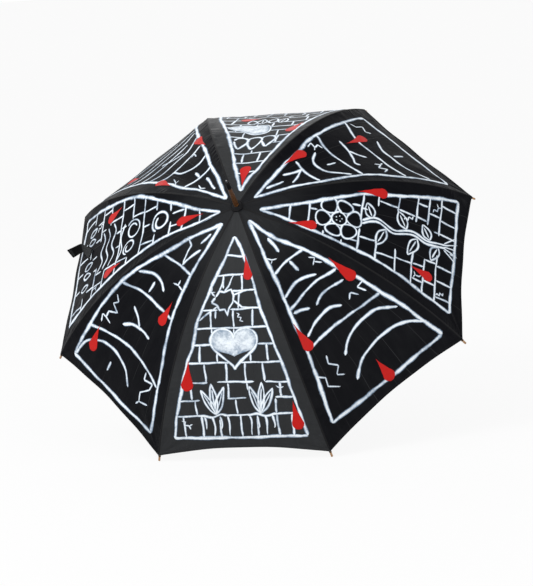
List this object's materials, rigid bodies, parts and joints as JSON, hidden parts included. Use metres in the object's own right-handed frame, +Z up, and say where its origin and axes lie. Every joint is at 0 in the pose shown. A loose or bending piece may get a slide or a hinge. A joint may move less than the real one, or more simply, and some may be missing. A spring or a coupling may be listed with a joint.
{
  "type": "umbrella",
  "caption": "Open stick umbrella with a painted black cloth canopy, folding steel ribs, a wooden shaft and a crook handle, lying on its rib tips and handle.",
  "frame": {"origin": "on the floor, at the middle of the bounding box's base", "axes": "+Z up, +X to the right along the two rib tips that rest on the floor, +Y from those tips towards the handle"},
  "size_m": [0.946, 0.7626, 0.7019],
  "materials": {
    "shaft_wood": "varnished, worn",
    "handle_wood": "varnished",
    "ferrule_wood": "varnished, worn",
    "collar_metal": "satin, tarnished",
    "black_cap": "semi-gloss",
    "steel": "plain wire",
    "black_plastic": "satin",
    "frame_steel": "black enamel",
    "tip_wood": "lacquered",
    "canopy_cloth": "black woven polyester, painted with white lines and red drops",
    "strap_webbing": "black nylon"
  },
  "bodies": {
    "shaft": {"shaft": "shaft_wood", "handle": "handle_wood", "handle_collar": "collar_metal", "ferrule": "ferrule_wood", "ferrule_cap": "black_cap", "ferrule_nib": "steel", "crown_cup": "black_plastic", "crown_notch": "black_plastic", "crown_ring": "steel", "notch_pin": "steel", "stop_pin": "steel", "catch_pins": "steel"},
    "runner": {"runner": "black_plastic", "runner_ring": "steel"},
    "top_catch": {"top_catch": "steel"},
    "bottom_catch": {"bottom_catch": "steel"},
    "rib_1": {"rib_1": "frame_steel", "rib_tip_1": "tip_wood", "rib_clip_1": "frame_steel", "gore_1": "canopy_cloth"},
    "stretcher_1": {"stretcher_1": "frame_steel"},
    "rib_2": {"rib_2": "frame_steel", "rib_tip_2": "tip_wood", "rib_clip_2": "frame_steel", "gore_2": "canopy_cloth"},
    "stretcher_2": {"stretcher_2": "frame_steel"},
    "rib_3": {"rib_3": "frame_steel", "rib_tip_3": "tip_wood", "rib_clip_3": "frame_steel", "gore_3": "canopy_cloth"},
    "stretcher_3": {"stretcher_3": "frame_steel"},
    "rib_4": {"rib_4": "frame_steel", "rib_tip_4": "tip_wood", "rib_clip_4": "frame_steel", "gore_4": "canopy_cloth"},
    "stretcher_4": {"stretcher_4": "frame_steel"},
    "rib_5": {"rib_5": "frame_steel", "rib_tip_5": "tip_wood", "rib_clip_5": "frame_steel", "gore_5": "canopy_cloth"},
    "stretcher_5": {"stretcher_5": "frame_steel"},
    "rib_6": {"rib_6": "frame_steel", "rib_tip_6": "tip_wood", "rib_clip_6": "frame_steel", "gore_6": "canopy_cloth"},
    "stretcher_6": {"stretcher_6": "frame_steel"},
    "rib_7": {"rib_7": "frame_steel", "rib_tip_7": "tip_wood", "rib_clip_7": "frame_steel", "gore_7": "canopy_cloth"},
    "stretcher_7": {"stretcher_7": "frame_steel"},
    "rib_8": {"rib_8": "frame_steel", "rib_tip_8": "tip_wood", "rib_clip_8": "frame_steel", "gore_8": "canopy_cloth", "strap": "strap_webbing"},
    "stretcher_8": {"stretcher_8": "frame_steel"}
  },
  "joints": [
    {"name": "runner_slide", "type": "slide", "parent": "shaft", "child": "runner", "axis": [0, 0.7358, -0.6772], "range_m": [0, 0.31404], "deforming": ["top_catch", "bottom_catch"]},
    {"name": "rib_1_swing", "type": "hinge", "parent": "shaft", "child": "rib_1", "pos_m": [0.00143, -0.2396, 0.53989], "axis": [-0.9239, -0.2592, -0.2816], "range_deg": [0, 58.5], "deforming": ["gore_1"]},
    {"name": "stretcher_1_swing", "type": "hinge", "parent": "rib_1", "child": "stretcher_1", "pos_m": [-0.09401, -0.03266, 0.66258], "axis": [0.9239, 0.2592, 0.2816], "range_deg": [0, 105.02]},
    {"name": "rib_2_swing", "type": "hinge", "parent": "shaft", "child": "rib_2", "pos_m": [0.00832, -0.2396, 0.53989], "axis": [-0.9239, 0.2592, 0.2816], "range_deg": [0, 58.5], "deforming": ["gore_2"]},
    {"name": "stretcher_2_swing", "type": "hinge", "parent": "rib_2", "child": "stretcher_2", "pos_m": [0.10376, -0.03266, 0.66258], "axis": [0.9239, -0.2592, -0.2816], "range_deg": [0, 105.02]},
    {"name": "rib_3_swing", "type": "hinge", "parent": "shaft", "child": "rib_3", "pos_m": [0.01319, -0.2429, 0.53631], "axis": [-0.3827, 0.6257, 0.6798], "range_deg": [0, 58.5], "deforming": ["gore_3"]},
    {"name": "stretcher_3_swing", "type": "hinge", "parent": "rib_3", "child": "stretcher_3", "pos_m": [0.2436, -0.12737, 0.55968], "axis": [0.3827, -0.6257, -0.6798], "range_deg": [0, 105.02]},
    {"name": "rib_4_swing", "type": "hinge", "parent": "shaft", "child": "rib_4", "pos_m": [0.01319, -0.24757, 0.53124], "axis": [0.3827, 0.6257, 0.6798], "range_deg": [0, 58.5], "deforming": ["gore_4"]},
    {"name": "stretcher_4_swing", "type": "hinge", "parent": "rib_4", "child": "stretcher_4", "pos_m": [0.2436, -0.2613, 0.41417], "axis": [-0.3827, -0.6257, -0.6798], "range_deg": [0, 105.02]},
    {"name": "rib_5_swing", "type": "hinge", "parent": "shaft", "child": "rib_5", "pos_m": [0.00832, -0.25086, 0.52766], "axis": [0.9239, 0.2592, 0.2816], "range_deg": [0, 58.5], "deforming": ["gore_5"]},
    {"name": "stretcher_5_swing", "type": "hinge", "parent": "rib_5", "child": "stretcher_5", "pos_m": [0.10376, -0.35601, 0.31128], "axis": [-0.9239, -0.2592, -0.2816], "range_deg": [0, 105.02]},
    {"name": "rib_6_swing", "type": "hinge", "parent": "shaft", "child": "rib_6", "pos_m": [0.00143, -0.25086, 0.52766], "axis": [0.9239, -0.2592, -0.2816], "range_deg": [0, 58.5], "deforming": ["gore_6"]},
    {"name": "stretcher_6_swing", "type": "hinge", "parent": "rib_6", "child": "stretcher_6", "pos_m": [-0.09401, -0.35601, 0.31128], "axis": [-0.9239, 0.2592, 0.2816], "range_deg": [0, 105.02]},
    {"name": "rib_7_swing", "type": "hinge", "parent": "shaft", "child": "rib_7", "pos_m": [-0.00344, -0.24757, 0.53124], "axis": [0.3827, -0.6257, -0.6798], "range_deg": [0, 58.5], "deforming": ["gore_7"]},
    {"name": "stretcher_7_swing", "type": "hinge", "parent": "rib_7", "child": "stretcher_7", "pos_m": [-0.23386, -0.2613, 0.41417], "axis": [-0.3827, 0.6257, 0.6798], "range_deg": [0, 105.02]},
    {"name": "rib_8_swing", "type": "hinge", "parent": "shaft", "child": "rib_8", "pos_m": [-0.00344, -0.2429, 0.53631], "axis": [-0.3827, -0.6257, -0.6798], "range_deg": [0, 58.5], "deforming": ["gore_8", "strap"]},
    {"name": "stretcher_8_swing", "type": "hinge", "parent": "rib_8", "child": "stretcher_8", "pos_m": [-0.23386, -0.12737, 0.55968], "axis": [0.3827, 0.6257, 0.6798], "range_deg": [0, 105.02]},
    {"name": "top_catch_press", "type": "hinge", "parent": "shaft", "child": "top_catch", "pos_m": [0.00487, -0.03378, 0.33914], "axis": [1, 0, 0], "range_deg": [0, 4.2], "stiffness_Nm_per_rad": 0.6},
    {"name": "bottom_catch_press", "type": "hinge", "parent": "shaft", "child": "bottom_catch", "pos_m": [0.00487, 0.12989, 0.1885], "axis": [-1, 0, 0], "range_deg": [0, 4.2], "stiffness_Nm_per_rad": 0.6}
  ],
  "couplings": [
    {"joint": "rib_1_swing", "follows": "runner_slide", "rad_per_m": 3.2512},
    {"joint": "stretcher_1_swing", "follows": "runner_slide", "rad_per_m": 5.8367},
    {"joint": "rib_2_swing", "follows": "runner_slide", "rad_per_m": 3.2512},
    {"joint": "stretcher_2_swing", "follows": "runner_slide", "rad_per_m": 5.8367},
    {"joint": "rib_3_swing", "follows": "runner_slide", "rad_per_m": 3.2512},
    {"joint": "stretcher_3_swing", "follows": "runner_slide", "rad_per_m": 5.8367},
    {"joint": "rib_4_swing", "follows": "runner_slide", "rad_per_m": 3.2512},
    {"joint": "stretcher_4_swing", "follows": "runner_slide", "rad_per_m": 5.8367},
    {"joint": "rib_5_swing", "follows": "runner_slide", "rad_per_m": 3.2512},
    {"joint": "stretcher_5_swing", "follows": "runner_slide", "rad_per_m": 5.8367},
    {"joint": "rib_6_swing", "follows": "runner_slide", "rad_per_m": 3.2512},
    {"joint": "stretcher_6_swing", "follows": "runner_slide", "rad_per_m": 5.8367},
    {"joint": "rib_7_swing", "follows": "runner_slide", "rad_per_m": 3.2512},
    {"joint": "stretcher_7_swing", "follows": "runner_slide", "rad_per_m": 5.8367},
    {"joint": "rib_8_swing", "follows": "runner_slide", "rad_per_m": 3.2512},
    {"joint": "stretcher_8_swing", "follows": "runner_slide", "rad_per_m": 5.8367}
  ]
}
